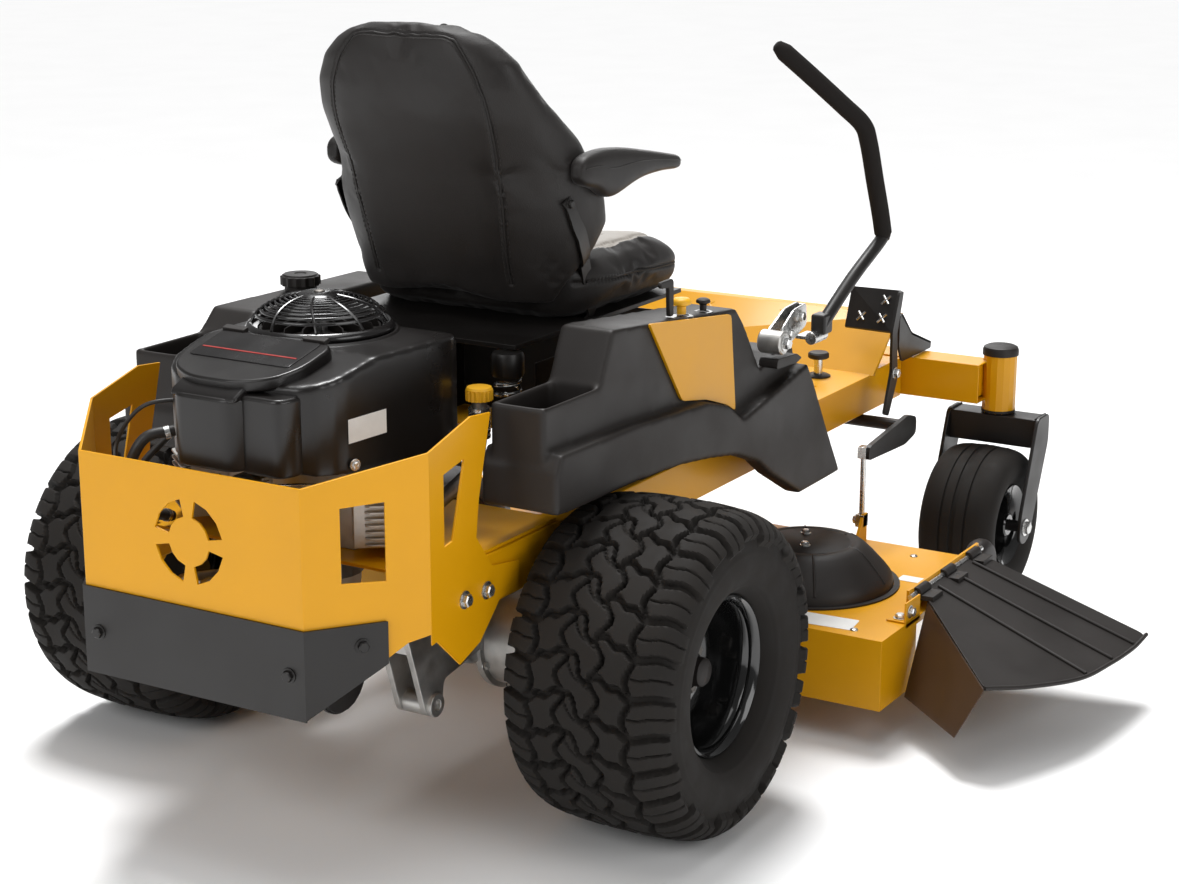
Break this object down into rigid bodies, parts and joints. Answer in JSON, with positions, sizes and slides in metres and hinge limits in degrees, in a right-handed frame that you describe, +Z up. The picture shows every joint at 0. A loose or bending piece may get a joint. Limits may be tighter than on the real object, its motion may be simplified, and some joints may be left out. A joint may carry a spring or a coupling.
{
  "type": "zero turn mower",
  "caption": "Ride-on zero turn mower with a belly deck, rear engine behind a high-back seat, side consoles, steering levers and front casters.",
  "frame": {"origin": "centre of the footprint, on the ground", "axes": "+X forward, +Y to the left of the seated operator, +Z up"},
  "size_m": [2.119, 1.728, 1.301],
  "materials": {
    "yellow_paint": "satin powder coat, warm golden yellow",
    "black_paint": "semi-gloss black powder coat",
    "black_plastic": "fine-grained matte black moulding",
    "shroud_plastic": "smooth black engine plastic",
    "tyre_rubber": "matte black rubber",
    "rim_paint": "gloss black enamel",
    "seat_vinyl": "black vinyl with a light grey top insert",
    "cast_aluminium": "bare casting",
    "zinc": "bright zinc plate",
    "steel": "oiled steel",
    "knob_yellow": "yellow moulded plastic"
  },
  "bodies": {
    "chassis": {"frame_rail_left": "yellow_paint", "frame_rail_right": "yellow_paint", "front_axle": "yellow_paint", "engine_plate": "yellow_paint", "floor_pan": "yellow_paint", "footrest_plate": "yellow_paint", "engine_guard": "yellow_paint", "guard_plate": "black_paint", "fender_left": "black_plastic", "fender_right": "black_plastic", "side_panel_left": "yellow_paint", "side_panel_right": "yellow_paint", "engine_block": "cast_aluminium", "engine_shroud": "shroud_plastic", "air_cleaner_cover": "shroud_plastic", "muffler": "black_paint", "transaxle_left": "cast_aluminium", "transaxle_right": "cast_aluminium", "seat_support": "black_paint"},
    "rear_wheel_left": {"rear_tyre_left": "tyre_rubber", "rear_rim_left": "rim_paint"},
    "caster_left": {"caster_fork_left": "black_paint"},
    "caster_wheel_left": {"front_tyre_left": "tyre_rubber", "front_rim_left": "rim_paint"},
    "rear_wheel_right": {"rear_tyre_right": "tyre_rubber", "rear_rim_right": "rim_paint"},
    "caster_right": {"caster_fork_right": "black_paint"},
    "caster_wheel_right": {"front_tyre_right": "tyre_rubber", "front_rim_right": "rim_paint"},
    "crankshaft": {"blower_screen": "shroud_plastic", "crank_pulley": "steel"},
    "deck": {"deck_shell": "yellow_paint", "belt_cover_left": "black_plastic", "belt_cover_right": "black_plastic"},
    "blade_unit_right": {"spindle_right": "steel", "blade_right": "steel"},
    "blade_unit_centre": {"spindle_centre": "steel", "blade_centre": "steel"},
    "blade_unit_left": {"spindle_left": "steel", "blade_left": "steel"},
    "discharge_chute": {"discharge_chute": "black_plastic"},
    "anti_scalp_roller_left": {"anti_scalp_roller_left": "black_plastic"},
    "anti_scalp_roller_right": {"anti_scalp_roller_right": "black_plastic"},
    "lift_shaft": {"lift_shaft": "black_paint"},
    "lift_pedal": {"lift_pedal": "black_paint"},
    "seat": {"seat_pan": "black_paint", "seat_back": "seat_vinyl", "seat_cushion": "seat_vinyl"},
    "armrest_left": {"armrest_left": "black_plastic"},
    "armrest_right": {"armrest_right": "black_plastic"},
    "lever_bracket_left": {"lever_bracket_left": "zinc"},
    "lap_bar_left": {"lap_bar_left": "black_paint"},
    "lever_bracket_right": {"lever_bracket_right": "zinc"},
    "lap_bar_right": {"lap_bar_right": "black_paint"},
    "fuel_cap": {"fuel_cap": "black_plastic"},
    "oil_cap": {"oil_cap": "knob_yellow"},
    "pto_knob": {"pto_knob": "knob_yellow"},
    "choke_knob": {"choke_knob": "black_plastic"},
    "throttle_lever": {"throttle_lever": "black_plastic"},
    "height_knob": {"height_knob": "black_plastic"}
  },
  "joints": [
    {"name": "rear_wheel_left_spin", "type": "hinge", "parent": "chassis", "child": "rear_wheel_left", "pos_m": [-0.49515, 0.692, 0.278], "axis": [0, 1, 0], "continuous": true},
    {"name": "caster_left_swivel", "type": "hinge", "parent": "chassis", "child": "caster_left", "pos_m": [0.97785, 0.704, 0.4], "axis": [0, 0, 1], "continuous": true},
    {"name": "caster_wheel_left_spin", "type": "hinge", "parent": "caster_left", "child": "caster_wheel_left", "pos_m": [0.89285, 0.704, 0.165], "axis": [0, 1, 0], "continuous": true},
    {"name": "rear_wheel_right_spin", "type": "hinge", "parent": "chassis", "child": "rear_wheel_right", "pos_m": [-0.49515, -0.344, 0.278], "axis": [0, 1, 0], "continuous": true},
    {"name": "caster_right_swivel", "type": "hinge", "parent": "chassis", "child": "caster_right", "pos_m": [0.97785, -0.356, 0.4], "axis": [0, 0, 1], "continuous": true},
    {"name": "caster_wheel_right_spin", "type": "hinge", "parent": "caster_right", "child": "caster_wheel_right", "pos_m": [0.89285, -0.356, 0.165], "axis": [0, 1, 0], "continuous": true},
    {"name": "crankshaft_spin", "type": "hinge", "parent": "chassis", "child": "crankshaft", "pos_m": [-0.71715, 0.169, 0.5], "axis": [0, 0, 1], "continuous": true},
    {"name": "deck_lift", "type": "slide", "parent": "chassis", "child": "deck", "axis": [0, 0, 1], "range_m": [0, 0.06]},
    {"name": "spindle_right_spin", "type": "hinge", "parent": "deck", "child": "blade_unit_right", "pos_m": [0.22685, -0.282, 0.2], "axis": [0, 0, 1], "continuous": true},
    {"name": "spindle_centre_spin", "type": "hinge", "parent": "deck", "child": "blade_unit_centre", "pos_m": [0.28685, 0.174, 0.2], "axis": [0, 0, 1], "continuous": true},
    {"name": "spindle_left_spin", "type": "hinge", "parent": "deck", "child": "blade_unit_left", "pos_m": [0.22685, 0.63, 0.2], "axis": [0, 0, 1], "continuous": true},
    {"name": "chute_hinge", "type": "hinge", "parent": "deck", "child": "discharge_chute", "pos_m": [0.33085, -0.516, 0.237], "axis": [1, 0, 0], "range_deg": [-90, 0]},
    {"name": "roller_left_spin", "type": "hinge", "parent": "deck", "child": "anti_scalp_roller_left", "pos_m": [0.58285, 0.826, 0.164], "axis": [0, 1, 0], "continuous": true},
    {"name": "roller_right_spin", "type": "hinge", "parent": "deck", "child": "anti_scalp_roller_right", "pos_m": [0.58285, -0.478, 0.164], "axis": [0, 1, 0], "continuous": true},
    {"name": "lift_shaft_turn", "type": "hinge", "parent": "chassis", "child": "lift_shaft", "pos_m": [0.71985, 0.174, 0.399], "axis": [0, 1, 0], "range_deg": [0, 17]},
    {"name": "lift_pedal_press", "type": "hinge", "parent": "chassis", "child": "lift_pedal", "pos_m": [0.70085, -0.227, 0.515], "axis": [0, 1, 0], "range_deg": [0, 22]},
    {"name": "seat_tilt", "type": "hinge", "parent": "chassis", "child": "seat", "pos_m": [0.06485, 0.174, 0.768], "axis": [0, 1, 0], "range_deg": [0, 30]},
    {"name": "armrest_left_raise", "type": "hinge", "parent": "seat", "child": "armrest_left", "pos_m": [-0.26015, 0.43, 1.016], "axis": [0, 1, 0], "range_deg": [-95, 0]},
    {"name": "armrest_right_raise", "type": "hinge", "parent": "seat", "child": "armrest_right", "pos_m": [-0.26015, -0.082, 1.016], "axis": [0, 1, 0], "range_deg": [-95, 0]},
    {"name": "lever_left_drive", "type": "hinge", "parent": "chassis", "child": "lever_bracket_left", "pos_m": [0.07985, 0.602, 0.702], "axis": [0, 1, 0], "range_deg": [-12, 12], "stiffness_Nm_per_rad": 60},
    {"name": "lap_bar_left_swing", "type": "hinge", "parent": "lever_bracket_left", "child": "lap_bar_left", "pos_m": [0.19485, 0.635, 0.695], "axis": [1, 0, 0], "range_deg": [0, 25]},
    {"name": "lever_right_drive", "type": "hinge", "parent": "chassis", "child": "lever_bracket_right", "pos_m": [0.07985, -0.254, 0.702], "axis": [0, 1, 0], "range_deg": [-12, 12], "stiffness_Nm_per_rad": 60},
    {"name": "lap_bar_right_swing", "type": "hinge", "parent": "lever_bracket_right", "child": "lap_bar_right", "pos_m": [0.19485, -0.287, 0.695], "axis": [1, 0, 0], "range_deg": [-25, 0]},
    {"name": "fuel_cap_turn", "type": "hinge", "parent": "chassis", "child": "fuel_cap", "pos_m": [-0.28515, 0.546, 0.79], "axis": [0, 0, 1], "range_deg": [0, 340]},
    {"name": "oil_cap_turn", "type": "hinge", "parent": "chassis", "child": "oil_cap", "pos_m": [-0.61315, -0.069, 0.725], "axis": [0, 0, 1], "range_deg": [0, 340]},
    {"name": "pto_knob_pull", "type": "slide", "parent": "chassis", "child": "pto_knob", "axis": [0, 0, 1], "range_m": [0, 0.02]},
    {"name": "choke_knob_pull", "type": "slide", "parent": "chassis", "child": "choke_knob", "axis": [0, 0, 1], "range_m": [0, 0.025]},
    {"name": "throttle_lever_swing", "type": "hinge", "parent": "chassis", "child": "throttle_lever", "pos_m": [-0.25815, -0.224, 0.812], "axis": [0, 1, 0], "range_deg": [-20, 20]},
    {"name": "height_knob_turn", "type": "hinge", "parent": "chassis", "child": "height_knob", "pos_m": [0.63085, -0.088, 0.52], "axis": [0, 0, 1], "range_deg": [-150, 150]}
  ],
  "couplings": [
    {"joint": "spindle_right_spin", "follows": "crankshaft_spin", "ratio": 1},
    {"joint": "spindle_centre_spin", "follows": "crankshaft_spin", "ratio": 1},
    {"joint": "spindle_left_spin", "follows": "crankshaft_spin", "ratio": 1},
    {"joint": "lift_shaft_turn", "follows": "deck_lift", "rad_per_m": 4.88},
    {"joint": "lift_pedal_press", "follows": "deck_lift", "rad_per_m": 6.3}
  ]
}
